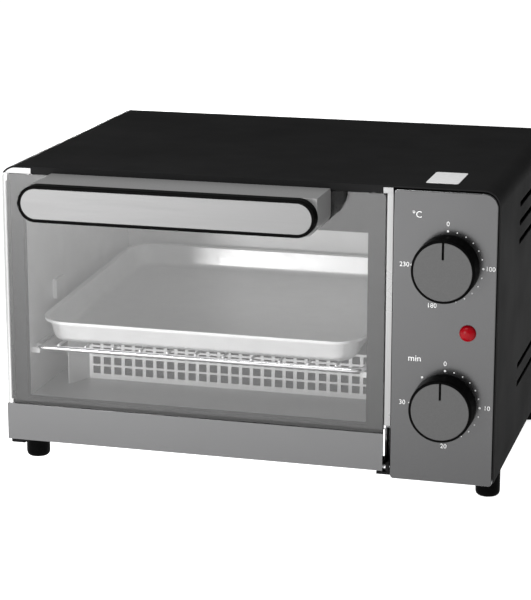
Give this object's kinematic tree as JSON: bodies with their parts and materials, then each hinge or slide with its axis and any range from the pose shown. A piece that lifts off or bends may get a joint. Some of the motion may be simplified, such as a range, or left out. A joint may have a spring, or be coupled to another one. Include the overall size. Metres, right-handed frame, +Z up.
{
  "type": "toaster oven",
  "caption": "Countertop toaster oven with drop-down glass door, bar handle, two dials, lamp, wire rack, tray and rod heaters.",
  "frame": {"origin": "on the table, under the middle of the oven's overall box", "axes": "+X to the right seen from the front, +Y to the back, +Z up"},
  "size_m": [0.37, 0.318, 0.2332],
  "materials": {
    "black_enamel": "black stoved paint, satin",
    "silver_foil": "blank silver sticker",
    "galvanised_steel": "zinc coated sheet",
    "bright_steel": "bright cold rolled sheet",
    "heater_steel": "oxidised tube",
    "ceramic": "unglazed white ceramic",
    "grey_enamel": "grey metallic paint, satin",
    "brown_plastic": "moulded phenolic",
    "bell_steel": "plated",
    "red_lens": "clear red",
    "white_plastic": "moulded",
    "black_plastic": "fine texture",
    "screw_steel": "zinc plated",
    "dark_steel": "blackened",
    "smoked_glass": "smoked tempered glass",
    "silicone": "dark silicone",
    "brushed_silver": "satin silver",
    "grey_plastic": "satin grey",
    "brass": "turned",
    "chrome_wire": "bright plated wire",
    "aluminium": "pressed sheet, dull"
  },
  "bodies": {
    "oven": {"outer_cover": "black_enamel", "top_label": "silver_foil", "rear_cover": "black_enamel", "base_plate": "galvanised_steel", "front_frame": "bright_steel", "cavity_left_wall": "bright_steel", "cavity_right_wall": "bright_steel", "cavity_roof": "bright_steel", "cavity_floor": "bright_steel", "cavity_back": "bright_steel", "heater_lower_front": "heater_steel", "heater_lower_rear": "heater_steel", "heater_upper_front": "heater_steel", "heater_upper_rear": "heater_steel", "ceramic_bushes": "ceramic", "heater_guard": "bright_steel", "rack_runner_left": "bright_steel", "rack_runner_right": "bright_steel", "control_panel": "grey_enamel", "thermostat_body": "brown_plastic", "timer_body": "galvanised_steel", "timer_bell": "bell_steel", "pilot_lamp_lens": "red_lens", "pilot_lamp_holder": "white_plastic", "heat_shield": "galvanised_steel", "terminal_block": "white_plastic", "cord_gland": "black_plastic", "rear_spacers": "black_plastic", "foot_front_left": "black_plastic", "foot_front_right": "black_plastic", "foot_rear_left": "black_plastic", "foot_rear_right": "black_plastic", "foot_screws": "screw_steel", "rear_screws": "screw_steel", "control_screws": "screw_steel", "hinge_bracket_left": "dark_steel", "hinge_bracket_right": "dark_steel"},
    "door": {"door_bottom_rail": "grey_enamel", "door_glass": "smoked_glass", "glass_gasket": "silicone", "hinge_pins": "screw_steel", "door_stay_arm": "screw_steel", "handle_grip": "black_plastic", "handle_face": "brushed_silver", "handle_bracket": "grey_plastic", "handle_screws": "screw_steel", "handle_washers": "screw_steel"},
    "thermostat_dial": {"thermostat_knob": "black_plastic", "thermostat_knob_face": "grey_plastic", "thermostat_shaft": "brass"},
    "timer_dial": {"timer_knob": "black_plastic", "timer_knob_face": "grey_plastic", "timer_shaft": "brass"},
    "rack": {"wire_rack": "chrome_wire"},
    "tray": {"baking_tray": "aluminium"}
  },
  "joints": [
    {"name": "door_hinge", "type": "hinge", "parent": "oven", "child": "door", "pos_m": [-0.04, -0.1055, 0.0255], "axis": [1, 0, 0], "range_deg": [0, 80]},
    {"name": "thermostat_turn", "type": "hinge", "parent": "oven", "child": "thermostat_dial", "pos_m": [0.1483, -0.111, 0.1775], "axis": [0, 1, 0], "range_deg": [0, 270]},
    {"name": "timer_turn", "type": "hinge", "parent": "oven", "child": "timer_dial", "pos_m": [0.1483, -0.111, 0.0765], "axis": [0, 1, 0], "range_deg": [-40, 270]},
    {"name": "rack_slide", "type": "slide", "parent": "oven", "child": "rack", "axis": [0, -1, 0], "range_m": [0, 0.12]},
    {"name": "tray_lift", "type": "slide", "parent": "rack", "child": "tray", "axis": [0, 0, 1], "range_m": [0, 0.025]}
  ],
  "couplings": [
    {"joint": "rack_slide", "follows": "door_hinge", "m_per_rad": 0.085}
  ]
}
